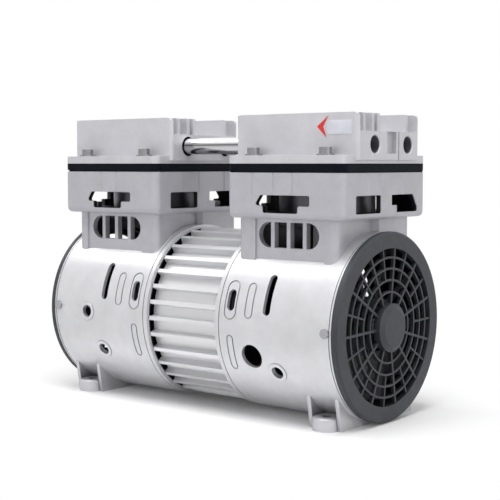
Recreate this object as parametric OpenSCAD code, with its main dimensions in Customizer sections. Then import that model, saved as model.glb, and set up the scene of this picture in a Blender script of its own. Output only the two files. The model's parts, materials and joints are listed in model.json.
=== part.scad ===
// Twin-cylinder oil-free air compressor. A finned motor sits between two crankcases, and each
// crankcase carries a cylinder, a valve plate and a finned head. The shaft runs along X, the
// front is -Y, and the feet stand on Z = 0 with the origin midway between them.

/* [Motor] */
// Gap between the two crankcases, bridged by the motor housing
motor_gap = 65; // [62:0.5:74]
// Length of the stator core along the shaft
core_l = 50; // [42:1:51]
// Depth of the floor of the cooling channels below the inside of the drum
channel_drop = 3.2; // [2.8:0.1:4]
// Depth of the fin tips below the outside of the drum
fin_tip_drop = 2.2; // [1.4:0.1:3.4]
// Thickness of the housing between its bore and the floor of its channels
housing_wall = 10.2; // [9.4:0.1:11.4]
// Number of cooling fins round the housing
fin_n = 33; // [26:1:36]
// Thickness of a cooling fin at its tip
fin_t = 2.9; // [2.2:0.1:3.6]
// Radial depth of the stator core
core_depth = 20.6; // [19.6:0.2:23]
// Diameter of the shaft
shaft_d = 17; // [15:0.5:18]

/* [Crankcase] */
// Outer diameter of each crankcase drum
case_d = 130.8; // [129.6:0.2:134]
// Length of each drum along the shaft
case_l = 98.3; // [97:0.1:104]
// Thickness of the drum wall
case_wall = 4; // [3:0.1:4.6]
// Clearance under the drum
floor_gap = 0.8; // [0.7:0.1:4]
// Length of drum left clear outside the neck that carries the cylinder
neck_ledge = 9; // [7:0.5:12]
// Width of the neck from front to back
neck_w = 94; // [90:0.2:98]
// Height of the neck's deck above the top of the drum
deck_rise = 9.2; // [8:0.1:14]
// Thickness of the neck walls
neck_wall = 6; // [5:0.1:7]

/* [Feet] */
// Distance of the mounting holes from the outer end of the drum
foot_in = 18.3; // [17:0.1:20]
// Spacing of the mounting holes from front to back
foot_pitch_y = 86.4; // [82:0.2:90]
// Diameter of each mounting hole
foot_hole_d = 7; // [5:0.1:9]
// Thickness of the bolt pad
pad_t = 9; // [6:0.5:12]
// Width of the bolt pad between its ribs
pad_w = 20; // [18:0.5:22]
// Thickness of each foot rib
rib_t = 3; // [2.4:0.1:3.6]

/* [Cylinder] */
// Bore of the cylinder
bore_d = 63.7; // [62:0.1:65]
// Wall of the cylinder sleeve
sleeve_wall = 2.3; // [2:0.1:3]
// Length of the cylinder housing along the shaft
cyl_l = 97.9; // [95:0.1:101]
// Width of the cylinder housing from front to back
cyl_w = 106.8; // [104:0.2:110]
// Height of the cylinder housing
cyl_h = 31.4; // [30:0.1:37]
// Thickness of the housing walls
cyl_wall = 4; // [3.5:0.1:5.5]

/* [Head] */
// Thickness of the gasket under the valve plate
base_gasket_t = 1.2; // [1:0.1:1.6]
// Thickness of the valve plate
plate_t = 4.2; // [3.4:0.1:5]
// Thickness of the gasket over the valve plate
head_gasket_t = 0.8; // [0.6:0.1:1.2]
// Thickness of the head flange
flange_t = 5.5; // [5:0.1:7]
// Height of the cover above its flange
cover_h = 28.4; // [27:0.1:32]
// Width of the flange left clear in front of the cover and behind it
head_ledge = 14.25; // [13.25:0.05:15.5]
// Height of the top fins above their floor
top_fin_h = 12.3; // [9:0.1:13]
// Thread bore of the outer air ports
port_d = 11.5; // [10:0.1:12.4]
// Diameter of the tubes that join the heads
tube_d = 12; // [10:0.1:12.6]

/* [Drive] */
// Throw of each eccentric, half of the piston stroke
throw = 4; // [3:0.1:4.4]
// Diameter of the eccentric journal
journal_d = 30; // [28.6:0.2:31]
// Outer diameter of the rod bearing
rod_bearing_d = 55; // [53:0.5:56]
// Width of the rod bearing
rod_bearing_w = 13; // [11:0.5:14]
// Outer diameter of the main bearing
main_bearing_d = 40; // [38:0.5:42]
// Width of the main bearing
main_bearing_w = 12; // [10:0.5:13]
// Outer radius of the counterweight
weight_r = 34; // [30:0.5:38]

/* [Fan and guard] */
// How far the guard's rim stands out past the drum, all round
guard_over = 0.5; // [0.3:0.1:1]
// Thickness of the guard's rim
guard_t = 4.2; // [3.4:0.1:6]
// Width of the guard's flat rim
guard_rim_w = 11.4; // [9:0.1:14]
// Number of spokes in the grille
spoke_n = 11; // [8:1:13]
// Diameter of the guard's centre
hub_d = 33.6; // [30:0.2:36]
// Gap between the tips of the fan's blades and the inside of the drum
fan_tip_gap = 9.4; // [7.4:0.2:13.4]
// Number of blades on the fan
blade_n = 9; // [7:1:11]

/* [Hidden] */
$fn = 96;

// Sides: the right half of the machine is +X and the left half is -X
right = 1;
left = -1;

// Overrun of every cut past the face that it opens
cut = 1;
// Depth by which fused shapes reach into each other
fuse = 0.5;
// Radial clearance of a running fit
run_gap = 0.05;
// Clearance between parts that pass each other
free_gap = 0.5;
// Clearance of a part seated in the bore or on the end of another
seat_gap = 0.05;

// Heights
case_r = case_d / 2;
deck_h = case_r + deck_rise;
shaft_h = case_r + floor_gap;
deck_z = shaft_h + deck_h;
base_z = deck_z + cyl_h;
plate_z = base_z + base_gasket_t;
head_gasket_z = plate_z + plate_t;
flange_z = head_gasket_z + head_gasket_t;
cover_z = flange_z + flange_t;

// Stations along the shaft
case_in = motor_gap / 2;
case_out = case_in + case_l;
case_bore_r = case_r - case_wall;
neck_setback = 6.3;
neck_in = case_in + neck_setback;
neck_l = case_l - neck_setback - neck_ledge;
neck_cx = neck_in + neck_l / 2;
head_shift = 1.85;
head_cx = neck_cx + head_shift;

// Motor housing
channel_d = 2 * (case_bore_r - channel_drop);
fin_tip_d = case_d - 2 * fin_tip_drop;
core_d = channel_d - 2 * housing_wall;
fin_end_gap = 0.6;
housing_l = motor_gap - 2 * fin_end_gap;
fin_taper = 1;
fin_root_t = fin_t + fin_taper;
fin_phase = 8.6;
core_slots = 24;
slot_d_share = 0.78;
slot_w = 4.6;
air_gap = 0.4;
stator_bore_r = core_d / 2 - core_depth;
rotor_r = stator_bore_r - air_gap;
coil_l = 9;
coil_gap = 0.3;
coil_inset = 2.6;
coil_over = 2;
coil_in_r = stator_bore_r + coil_inset;
coil_out_r = core_d / 2 * slot_d_share + coil_over;
tie_n = 4;
tie_r = (core_d + channel_d) / 4;
tie_d = 5;
tie_head_d = 8.5;
tie_head_h = 4.5;
tie_turn = 45;

// Shield that closes each crankcase towards the motor and holds the main bearing
bulkhead_set = 1.2;
bulkhead_x = neck_in + bulkhead_set;
bulkhead_t = 5;
bearing_wall = 5;
bearing_hub_r = main_bearing_d / 2 + bearing_wall;
bearing_proud = 2;
bearing_x = bulkhead_x - bearing_proud;
register_t = 5;
register_lip = 0.6;
register_r = channel_d / 2 - register_lip;
window_n = 6;
window_rim_in = 4;
window_rim_out = 4.6;
window_in_r = bearing_hub_r + window_rim_in;
window_out_r = register_r - register_t - window_rim_out;
tie_boss_rim = 1;
tie_boss_r = tie_head_d / 2 + tie_boss_rim;

// Drum details, as angles from the top towards the front
line_w = 1;
slot_w_long = 6;
long_slot_in = 44.6;
long_slot_x = case_in + long_slot_in;
long_slot_from = 58.5;
long_slot_to = 78.4;
short_slot_in = 13.3;
short_slot_x = case_in + short_slot_in;
short_slot_w = 6.6;
short_slot_from = 70;
short_slot_to = 77.4;
emboss_depth = 0.6;
emboss_in = 29.4;
emboss_x = case_in + emboss_in;
emboss_w = 7;
emboss_from = 65;
emboss_to = 81;
frame_w = 10.8;
frame_from = 66;
frame_to = 81;
lower_emboss_w = 6;
lower_emboss_from = 97.5;
lower_emboss_to = 115;
drain_in = 50.5;
drain_x = case_in + drain_in;
drain_angle = 116;
drain_r = 4.6;
lip_w = 2.4;
lip_h = 0.5;
lead_in = 30.8;
lead_x = case_in + lead_in;
lead_angle = 107.3;
lead_r = 8.6;
cable_in = 62;
cable_x = case_in + cable_in;
cable_angle = 90;
rim_groove_in = 2.2;
lip_groove_in = 3.4;
rim_groove_x = case_out - rim_groove_in;
lip_groove_x = case_in + lip_groove_in;
rim_groove = 0.6;
guard_screw_in = 5;
guard_screw_x = case_out - guard_screw_in;
guard_screw_angle = 88;
guard_screw_d = 4;
guard_screw_head_d = 6.6;
guard_screw_head_h = 1.4;

// Neck details
neck_corner_r = 5;
neck_recess = 1.2;
pillar_in_w = 15.5;
pillar_out_w = 9.5;
vent_l = 50.8;
vent_h = 17.5;
vent_shift = 1.7;
vent_x = neck_cx + vent_shift;
vent_below = 11.2;
vent_bar = 3;
vent_bars = 3;
scoop_from_share = -0.42;
scoop_to_share = 0.06;
scoop_depth = 4.4;
deck_t = 5;
deck_lip = 0.6;
deck_hole_r = bore_d / 2 - deck_lip;

// Feet
foot_x = case_out - foot_in;
foot_y = foot_pitch_y / 2;
foot_front = 44.6;
foot_top_angle = 129;
foot_web_t = 4;
foot_web_y = foot_y - pad_w;
saddle_from = 98;
saddle_to = 131.5;
saddle_h = 0.5;
saddle_w = 21;
saddle_corner_r = 4;
saddle_l = 2 * case_r * sin((saddle_to - saddle_from) / 2);
saddle_shift = 0.9;
saddle_x = foot_x + saddle_shift;
pad_chamfer = 1;

// Cylinder housing details
corner_r = 6;
edge_r = 3.6;
cyl_floor_t = 3.8;
window_low = 4;
window_step = 9;
window_high = 16.2;
cavity_over = 1.6;
window_round = 1.4;
front_low_shares = [-0.173, 0.129];
front_step_shares = [-0.243, 0.129];
front_high_shares = [-0.194, 0.229];
end_a_shares = [-0.353, -0.063];
end_b_low_shares = [0.127, 0.384];
end_b_step_shares = [0.066, 0.373];
end_b_high_shares = [0.066, 0.33];
flute_r = 0.9;
flute_front_shares = [-0.263, -0.081, 0.081];
flute_end_shares = [-0.216, -0.052, 0.23];
deck_screw_in = 17.5;
deck_screw_x = cyl_l / 2 - deck_screw_in;
deck_screw_y = cyl_w / 2 - deck_screw_in;
deck_screw_d = 5;
deck_screw_head_d = 8.5;
deck_screw_head_h = 4;
deck_screw_grip = 9;

// Sleeve, valve plate and reeds
sleeve_r = bore_d / 2 + sleeve_wall;
gasket_notch = 10;
reed_w = 11;
reed_l = 32;
reed_t = 0.4;
reed_gap = 0.3;
reed_root_x = -18;
intake_y = -13;
exhaust_y = 14;
valve_hole_r = 2.4;
valve_hole_pitch = 6.4;
valve_holes = 4;
stop_t = 1.6;
stop_lift = 2.6;
stop_foot = 7;
stop_screw_d = 3;

// Head cover details
cover_over = 2.3;
skirt_lift = 2.4;
cover_l = cyl_l + 2 * cover_over;
cover_w = cyl_w - 2 * head_ledge;
cover_corner_r = 3;
cover_top_r = 4;
cover_wall = 2.6;
top_fin_t = 3;
top_fin_inset = 2.4;
top_fin_shares = [-0.359, -0.222, -0.138, 0.331];
dome_share = 0.042;
dome_r = 13.5;
dome_h = 7;
dome_inset = 24;
dome_l = cyl_l - 2 * dome_inset;
port_front_share = -0.225;
port_rear_share = 0.313;
tube_front_share = -0.255;
tube_rear_share = 0.297;
port_above = 12.9;
port_chamfer = 1.1;
tube_gap = 0.1;
tube_wall = 1;
tube_depth = 9;
socket_depth = 14;
seal_t = 1.3;
seal_l = 1.8;
block_h = 16;
block_recess_shares = [-0.043, 0.109];
block_recess_depth = 3.4;
block_recess_floor = 1.2;
block_line_share = 0.143;
block_line_w = 1.1;
block_line_depth = 1.6;
chamber_wall = 5;
chamber_h = 15;
chamber_split = 5;
chamber_l = 78;
port_depth = (cover_l - chamber_l) / 2 + fuse;
head_screw_x = 30.2;
head_screw_y = (cyl_w + cover_w) / 4;
head_screw_d = 5;
head_screw_head_d = 8.6;
head_screw_head_h = 4.4;
head_screw_socket = 4.2;
head_screw_socket_depth = 2.4;
head_screw_grip = 15;
washer_d = 12;
washer_t = 1;

// Drive details
shaft_r = shaft_d / 2;
shaft_end_gap = 2.4;
shaft_end = case_out - shaft_end_gap;
shaft_chamfer = 0.8;
rotor_inset = 1;
rotor_l = core_l - 2 * rotor_inset;
end_ring_t = 4;
end_ring_inset = 3;
end_ring_r = rotor_r - end_ring_inset;
ball_n = 9;
race_share = 0.36;
ecc_collar_rim = 2.4;
ecc_collar_r = journal_d / 2 + ecc_collar_rim;
ecc_collar_t = 4;
weight_t = 11;
weight_gap = 0.6;
weight_hub_wall = 8;
weight_hub_r = shaft_r + weight_hub_wall;
set_screw_d = 5;
rod_eye_wall = 5.4;
rod_stem_low = 18;
rod_stem_high = 14;
piston_gap = 0.8;
piston_r = bore_d / 2 - throw - piston_gap;
piston_t = 5.5;
piston_cone_h = 8;
top_clear = 3.4;
retainer_t = 4;
retainer_inset = 1.2;
retainer_r = piston_r - retainer_inset;
cup_t = 1.5;
cup_lip_h = 3;
cup_lip_t = 1.2;
cup_gap = 0.3;
cup_hole_r = 5;
crown_z = deck_z + cyl_h + base_gasket_t - top_clear;
rod_l = crown_z - retainer_t - cup_t - shaft_h - throw;
retainer_screw_d = 6;
retainer_screw_head_d = 11.5;
retainer_screw_l = 18;

// Fan and guard details
guard_d = case_d + 2 * guard_over;
grille_d = guard_d - 2 * guard_rim_w;
guard_chamfer = 1.2;
guard_skirt_l = 9;
guard_skirt_t = 1.8;
guard_skirt_gap = 0.2;
grille_t = 2.6;
spoke_w = 1.7;
half_spoke_w = 1.3;
ring_w = 1.4;
ring_shares = [0.45, 0.6, 0.745, 0.885];
half_spoke_share = 0.6;
spoke_turn = 173;
hub_proud = 4;
hub_chamfer = 2;
fan_setback = 20.5;
fan_x = case_out - fan_setback;
fan_l = 15;
fan_r = case_bore_r - fan_tip_gap;
fan_hub_r = 17;
fan_hub_wall = 3;
fan_boss_r = 12;
blade_t = 1.8;
blade_w = 21;
blade_pitch = 38;
clip_t = 1.2;
clip_w = 2.6;

// Joins a list of points into one outline, with each corner rounded by radius r
function unit(v) = v / norm(v);
function turned(v, a) = [v[0] * cos(a) - v[1] * sin(a), v[0] * sin(a) + v[1] * cos(a)];
function corner_arc(a, b, c, r, n) =
    let (
        u = unit(a - b),
        v = unit(c - b),
        half = acos(u * v) / 2,
        centre = b + unit(u + v) * r / sin(half),
        start = b + u * r / tan(half) - centre,
        way = (u[0] * v[1] - u[1] * v[0] > 0) ? -1 : 1
    )
    [for (i = [0:n]) centre + turned(start, way * (180 - 2 * half) * i / n)];
function rounded(p, r, n = 4) =
    [for (i = [0:len(p) - 1])
        each corner_arc(p[(i + len(p) - 1) % len(p)], p[i], p[(i + 1) % len(p)], r, n)];

// Mirrors a part that is drawn for the right side onto the left side
module on_side(side) {
    if (side == right) children();
    else mirror([1, 0, 0]) children();
}

// Places a shape whose own Z axis becomes the shaft direction, at station x and height z
module along_shaft(x, z = shaft_h) {
    translate([x, 0, z]) rotate([0, 90, 0]) children();
}

// Places a shape whose own Z axis points out of the drum at an angle from the top to the front
module out_of_drum(x, angle) {
    translate([x, 0, shaft_h]) rotate([angle, 0, 0]) children();
}

// Stands a flat outline in the YZ plane and gives it thickness t along X
module upright_x(x, t) {
    translate([x, 0, 0]) rotate([90, 0, 90]) linear_extrude(t) children();
}

// Stands a flat outline in the XZ plane and gives it thickness t towards the back
module upright_y(y, t) {
    translate([0, y + t, 0]) rotate([90, 0, 0]) linear_extrude(t) children();
}

module rounded_rect(l, w, r) {
    square([l - 2 * r, w], center = true);
    square([l, w - 2 * r], center = true);
    for (x = [-1, 1], y = [-1, 1])
        translate([x * (l / 2 - r), y * (w / 2 - r)]) circle(r);
}

module ring(outer_r, inner_r, h) {
    difference() {
        cylinder(r = outer_r, h = h);
        translate([0, 0, -cut]) cylinder(r = inner_r, h = h + 2 * cut);
    }
}

// Flat outline with round ends, w wide along X, as long as an arc of the drum's surface
module slot_outline(from, to, w) {
    l = case_r * (to - from) * PI / 180;
    square([w, l], center = true);
    for (y = [-l / 2, l / 2]) translate([0, y]) circle(d = w);
}

// Turns a flat outline into a plug that cuts through the drum wall between two angles
module drum_plug(x, from, to) {
    out_of_drum(x, (from + to) / 2)
        translate([0, 0, case_bore_r - case_wall]) linear_extrude(2 * case_wall + cut) children();
}

module drum_slot(x, from, to, w) {
    drum_plug(x, from, to) slot_outline(from, to, w);
}

// Outline of a round-ended slot, as a plug that is one line thick
module drum_line(x, from, to, w) {
    drum_plug(x, from, to)
        difference() {
            slot_outline(from, to, w);
            slot_outline(from, to, w - 2 * line_w);
        }
}

module in_ring(n, r, turn = 0) {
    for (i = [0:n - 1]) rotate([0, 0, turn + i * 360 / n]) translate([r, 0, 0]) children();
}

// Motor housing with its cooling fins and the bores of the tie bolts
module stator_housing() {
    color([0.86, 0.86, 0.88])
    along_shaft(-housing_l / 2)
        linear_extrude(housing_l)
            difference() {
                union() {
                    circle(d = channel_d);
                    for (i = [0:fin_n - 1])
                        rotate(fin_phase + i * 360 / fin_n)
                            polygon([
                                [channel_d / 2 - fuse, -fin_root_t / 2],
                                [fin_tip_d / 2, -fin_t / 2],
                                [fin_tip_d / 2, fin_t / 2],
                                [channel_d / 2 - fuse, fin_root_t / 2]
                            ]);
                }
                circle(d = core_d);
                for (i = [0:tie_n - 1])
                    rotate(tie_turn + i * 360 / tie_n) translate([tie_r, 0]) circle(d = tie_d);
            }
}

// Laminated stator core with open slots round its bore
module stator_core() {
    color([0.42, 0.43, 0.45])
    along_shaft(-core_l / 2)
        linear_extrude(core_l)
            difference() {
                circle(d = core_d);
                circle(stator_bore_r);
                for (i = [0:core_slots - 1])
                    rotate(i * 360 / core_slots)
                        translate([stator_bore_r - cut, -slot_w / 2])
                            square([core_d / 2 * slot_d_share - stator_bore_r + cut, slot_w]);
            }
}

// Winding: bars in the slots, joined by a coil head at each end of the core
module stator_windings() {
    color([0.72, 0.38, 0.2]) {
        for (end = [-1, 1])
            along_shaft(end * core_l / 2 + (end < 0 ? -coil_l : 0))
                ring(coil_out_r, coil_in_r, coil_l);
        for (i = [0:core_slots - 1])
            along_shaft(-core_l / 2 - fuse)
                rotate([0, 0, i * 360 / core_slots])
                    translate([coil_in_r, -slot_w / 2 + coil_gap, 0])
                        cube([
                            core_d / 2 * slot_d_share - coil_in_r - coil_gap,
                            slot_w - 2 * coil_gap,
                            core_l + 2 * fuse
                        ]);
    }
}

// Four long bolts that clamp both crankcases onto the motor housing
module tie_bolts() {
    tie_l = 2 * (bulkhead_x + bulkhead_t);
    color([0.7, 0.7, 0.72])
    for (i = [0:tie_n - 1])
        along_shaft(-tie_l / 2)
            rotate([0, 0, tie_turn + i * 360 / tie_n])
                translate([tie_r, 0, 0]) {
                    translate([0, 0, -fuse]) cylinder(d = tie_d, h = tie_l + 2 * fuse);
                    for (z = [-tie_head_h, tie_l])
                        translate([0, 0, z]) cylinder(d = tie_head_d, h = tie_head_h);
                }
}

// Inner wall of a crankcase: bearing seat, air windows and the register on the motor housing
module bearing_shield(side) {
    register_x = housing_l / 2 + seat_gap;
    register_l = bulkhead_x - register_x + fuse;
    color([0.74, 0.74, 0.77])
    on_side(side) difference() {
        union() {
            along_shaft(bulkhead_x) cylinder(r = case_bore_r - seat_gap, h = bulkhead_t);
            along_shaft(bearing_x) cylinder(r = bearing_hub_r, h = main_bearing_w + bulkhead_t / 2);
            along_shaft(register_x) ring(register_r, register_r - register_t, register_l);
            for (i = [0:tie_n - 1])
                along_shaft(register_x)
                    rotate([0, 0, tie_turn + i * 360 / tie_n])
                        translate([tie_r, 0, 0]) cylinder(r = tie_boss_r, h = register_l);
        }
        along_shaft(bearing_x - cut) cylinder(d = main_bearing_d, h = main_bearing_w + cut);
        along_shaft(bearing_x)
            cylinder(r = main_bearing_d / 2 - register_t, h = main_bearing_w + bulkhead_t);
        along_shaft(bulkhead_x - cut)
            for (i = [0:window_n - 1])
                rotate([0, 0, i * 360 / window_n + 180 / window_n])
                    rotate_extrude(angle = 180 / window_n, start = -90 / window_n)
                        translate([window_in_r, 0])
                            square([window_out_r - window_in_r, bulkhead_t + 2 * cut]);
        for (i = [0:tie_n - 1])
            along_shaft(register_x - cut)
                rotate([0, 0, tie_turn + i * 360 / tie_n])
                    translate([tie_r, 0, 0])
                        cylinder(d = tie_d, h = bulkhead_x + bulkhead_t - register_x + 2 * cut);
    }
}

// Outline of the foot ribs, front to back, up to where they meet the drum
module foot_outline() {
    flare_r = case_r - case_wall / 2;
    flare = [flare_r * sin(foot_top_angle), shaft_h + flare_r * cos(foot_top_angle)];
    polygon([[-foot_front, 0], [foot_front, 0], flare, [-flare[0], flare[1]]]);
}

// Foot frame: two ribs, a rounded bolt pad at each end of them and a web behind each pad
module feet() {
    for (x = [foot_x - pad_w / 2 - rib_t, foot_x + pad_w / 2]) upright_x(x, rib_t) foot_outline();
    for (y = [-1, 1]) {
        translate([foot_x, y * foot_y, 0]) {
            cylinder(d = pad_w, h = pad_t - pad_chamfer);
            translate([0, 0, pad_t - pad_chamfer])
                cylinder(d1 = pad_w, d2 = pad_w - 2 * pad_chamfer, h = pad_chamfer);
        }
        translate([foot_x - pad_w / 2 - fuse, y * (foot_y + foot_web_y) / 2 - (foot_y - foot_web_y) / 2, 0])
            cube([pad_w + 2 * fuse, foot_y - foot_web_y, pad_t - pad_chamfer]);
        translate([foot_x - pad_w / 2 - fuse, y * foot_web_y - foot_web_t / 2, 0])
            cube([pad_w + 2 * fuse, foot_web_t, shaft_h / 2]);
    }
}

// Neck that carries the cylinder: a box with proud corner pillars and scooped ends
module neck_outer() {
    scoop_from = scoop_from_share * neck_w;
    scoop_to = scoop_to_share * neck_w;
    difference() {
        translate([neck_cx, 0, shaft_h])
            linear_extrude(deck_h) rounded_rect(neck_l, neck_w, neck_corner_r);
        for (y = [-neck_w / 2 - cut, neck_w / 2 - neck_recess])
            translate([neck_in + pillar_in_w, y, shaft_h - cut])
                cube([neck_l - pillar_in_w - pillar_out_w, neck_recess + cut, deck_h + 2 * cut]);
        for (end = [-1, 1])
            translate([neck_cx + end * neck_l / 2, 0, shaft_h - cut])
                linear_extrude(deck_h + 2 * cut)
                    polygon([
                        [0, scoop_from], [end * cut, scoop_from], [end * cut, scoop_to], [0, scoop_to],
                        [-end * scoop_depth, scoop_to - scoop_depth / 2]
                    ]);
    }
}

// Row of upright openings with round outer ends, cut through the neck's front and back
module neck_vents() {
    vent_z = deck_z - vent_below;
    pitch = (vent_l + vent_bar) / (vent_bars + 1);
    for (y = [-neck_w / 2 - cut, neck_w / 2 - neck_wall - cut])
        upright_y(y, neck_wall + 2 * cut)
            translate([vent_x, vent_z])
                difference() {
                    union() {
                        square([vent_l - vent_h, vent_h], center = true);
                        for (x = [-1, 1]) translate([x * (vent_l - vent_h) / 2, 0]) circle(d = vent_h);
                    }
                    for (i = [1:vent_bars])
                        translate([-(vent_l + vent_bar) / 2 + i * pitch, 0])
                            square([vent_bar, vent_h + cut], center = true);
                }
}

module foot_frame(side) {
    color([0.8, 0.8, 0.83])
    on_side(side)
        difference() {
            feet();
            along_shaft(case_in - cut) cylinder(r = case_r, h = case_l + 2 * cut);
            for (y = [-1, 1])
                translate([foot_x, y * foot_y, -cut]) cylinder(d = foot_hole_d, h = pad_t + 2 * cut);
        }
}

// Shallow panel over each foot
module saddle() {
    intersection() {
        out_of_drum(saddle_x, (saddle_from + saddle_to) / 2)
            translate([0, 0, case_bore_r - case_wall])
                linear_extrude(case_d) rounded_rect(saddle_w, saddle_l, saddle_corner_r);
        along_shaft(case_in) ring(case_r + saddle_h, case_r - fuse, case_l + cut);
    }
}

// Shallow pads and raised lips on the drum
module drum_raised(side) {
    for (back = [0, 1]) mirror([0, back, 0]) {
        saddle();
        out_of_drum(drain_x, drain_angle) cylinder(r = drain_r + lip_w, h = case_r + lip_h);
    }
    if (side == left) out_of_drum(cable_x, cable_angle) cylinder(r = drain_r + lip_w, h = case_r + lip_h);
}

// Slots, holes and line grooves cut into the drum's front and back
module drum_cuts(side) {
    inner_r = case_bore_r - cut;
    for (back = [0, 1]) mirror([0, back, 0]) {
        drum_slot(long_slot_x, long_slot_from, long_slot_to, slot_w_long);
        drum_slot(short_slot_x, short_slot_from, short_slot_to, short_slot_w);
        intersection() {
            along_shaft(case_in - cut) ring(case_r + cut, case_r - emboss_depth, case_l);
            union() {
                drum_line(emboss_x, emboss_from, emboss_to, emboss_w);
                drum_line(short_slot_x, frame_from, frame_to, frame_w);
                drum_line(short_slot_x, lower_emboss_from, lower_emboss_to, lower_emboss_w);
            }
        }
        out_of_drum(drain_x, drain_angle)
            translate([0, 0, inner_r]) cylinder(r = drain_r, h = case_wall + 3 * cut);
    }
    for (a = [-guard_screw_angle, guard_screw_angle])
        out_of_drum(guard_screw_x, a)
            translate([0, 0, inner_r]) cylinder(d = guard_screw_d, h = case_wall + 3 * cut);
    if (side == right)
        out_of_drum(lead_x, lead_angle)
            translate([0, 0, inner_r]) cylinder(r = lead_r, h = case_wall + 3 * cut);
    else
        out_of_drum(cable_x, cable_angle)
            translate([0, 0, inner_r]) cylinder(r = drain_r, h = case_wall + 3 * cut);
    for (x = [rim_groove_x, lip_groove_x])
        along_shaft(x) ring(case_r + cut, case_r - rim_groove, rim_groove);
}

// Space inside the neck, which runs down through the top of the drum
module neck_space() {
    translate([neck_cx, 0, shaft_h])
        linear_extrude(deck_h - deck_t)
            square([neck_l - 2 * neck_wall, neck_w - 2 * neck_wall], center = true);
}

// Crankcase drum, open at both ends and under the neck
module crankcase(side) {
    color([0.8, 0.8, 0.83])
    on_side(side)
        difference() {
            union() {
                along_shaft(case_in) cylinder(r = case_r, h = case_l);
                drum_raised(side);
            }
            along_shaft(case_in - cut) cylinder(r = case_bore_r, h = case_l + 2 * cut);
            neck_space();
            drum_cuts(side);
        }
}

// Neck with its vents and the deck that the cylinder housing is screwed to
module cylinder_neck(side) {
    color([0.8, 0.8, 0.83])
    on_side(side)
        difference() {
            neck_outer();
            neck_space();
            neck_vents();
            along_shaft(case_in - cut) cylinder(r = case_r, h = case_l + 2 * cut);
            translate([head_cx, 0, deck_z - deck_t - cut]) cylinder(r = deck_hole_r, h = deck_t + 2 * cut);
            for (x = [-1, 1], y = [-1, 1])
                translate([head_cx + x * deck_screw_x, y * deck_screw_y, deck_z - deck_t - cut])
                    cylinder(d = deck_screw_d, h = deck_t + 2 * cut);
        }
}

// Ball bearing split into its fixed outer ring and the inner ring that turns with the shaft
function ball_r(outer_r, inner_r) = (outer_r - inner_r) * race_share / 2;
module bearing_outer(outer_r, inner_r, w) {
    mid = (outer_r + inner_r) / 2;
    ring(outer_r, mid + ball_r(outer_r, inner_r) + run_gap, w);
}
module bearing_inner(outer_r, inner_r, w) {
    mid = (outer_r + inner_r) / 2;
    ring(mid - ball_r(outer_r, inner_r) + fuse / 2, inner_r, w);
    translate([0, 0, w / 2]) in_ring(ball_n, mid) sphere(r = ball_r(outer_r, inner_r));
}

module main_bearing_outers() {
    color([0.66, 0.67, 0.7])
    for (side = [left, right])
        on_side(side) along_shaft(bearing_x) bearing_outer(main_bearing_d / 2, shaft_r, main_bearing_w);
}

module main_bearing_inners() {
    color([0.74, 0.75, 0.78])
    for (side = [left, right])
        on_side(side) along_shaft(bearing_x) bearing_inner(main_bearing_d / 2, shaft_r, main_bearing_w);
}

// Outline of the stepped window in the housing's front, seen from the front
module front_window() {
    polygon(rounded([
        [front_step_shares[0] * cyl_l, window_step], [front_high_shares[0] * cyl_l, window_high],
        [front_high_shares[1] * cyl_l, window_high], [front_high_shares[1] * cyl_l, window_step],
        [front_step_shares[1] * cyl_l, window_step], [front_low_shares[1] * cyl_l, window_low],
        [front_low_shares[0] * cyl_l, window_low], [front_low_shares[0] * cyl_l, window_step]
    ], window_round));
}

// Outlines of the two windows in the housing's end, seen along the shaft
module end_windows() {
    polygon(rounded([
        [end_a_shares[0] * cyl_w, window_low], [end_a_shares[0] * cyl_w, window_high],
        [end_a_shares[1] * cyl_w, window_high], [end_a_shares[1] * cyl_w, window_low]
    ], window_round));
    polygon(rounded([
        [end_b_step_shares[0] * cyl_w, window_step], [end_b_high_shares[0] * cyl_w, window_high],
        [end_b_high_shares[1] * cyl_w, window_high], [end_b_step_shares[1] * cyl_w, window_step],
        [end_b_low_shares[1] * cyl_w, window_step - window_round],
        [end_b_low_shares[1] * cyl_w, window_low],
        [end_b_low_shares[0] * cyl_w, window_low], [end_b_low_shares[0] * cyl_w, window_step]
    ], window_round / 2));
}

// Block whose lower edge is rolled under
module rolled_block(l, w, h, r, edge) {
    translate([0, 0, edge]) linear_extrude(h - edge) rounded_rect(l, w, r);
    hull()
        for (a = [0:30:90])
            translate([0, 0, edge * (1 - sin(a))])
                linear_extrude(edge * (1 - cos(15)))
                    rounded_rect(
                        l - 2 * edge * (1 - cos(a)),
                        w - 2 * edge * (1 - cos(a)),
                        max(r - edge * (1 - cos(a)), r / 8), $fn = 24
                    );
}

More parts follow.
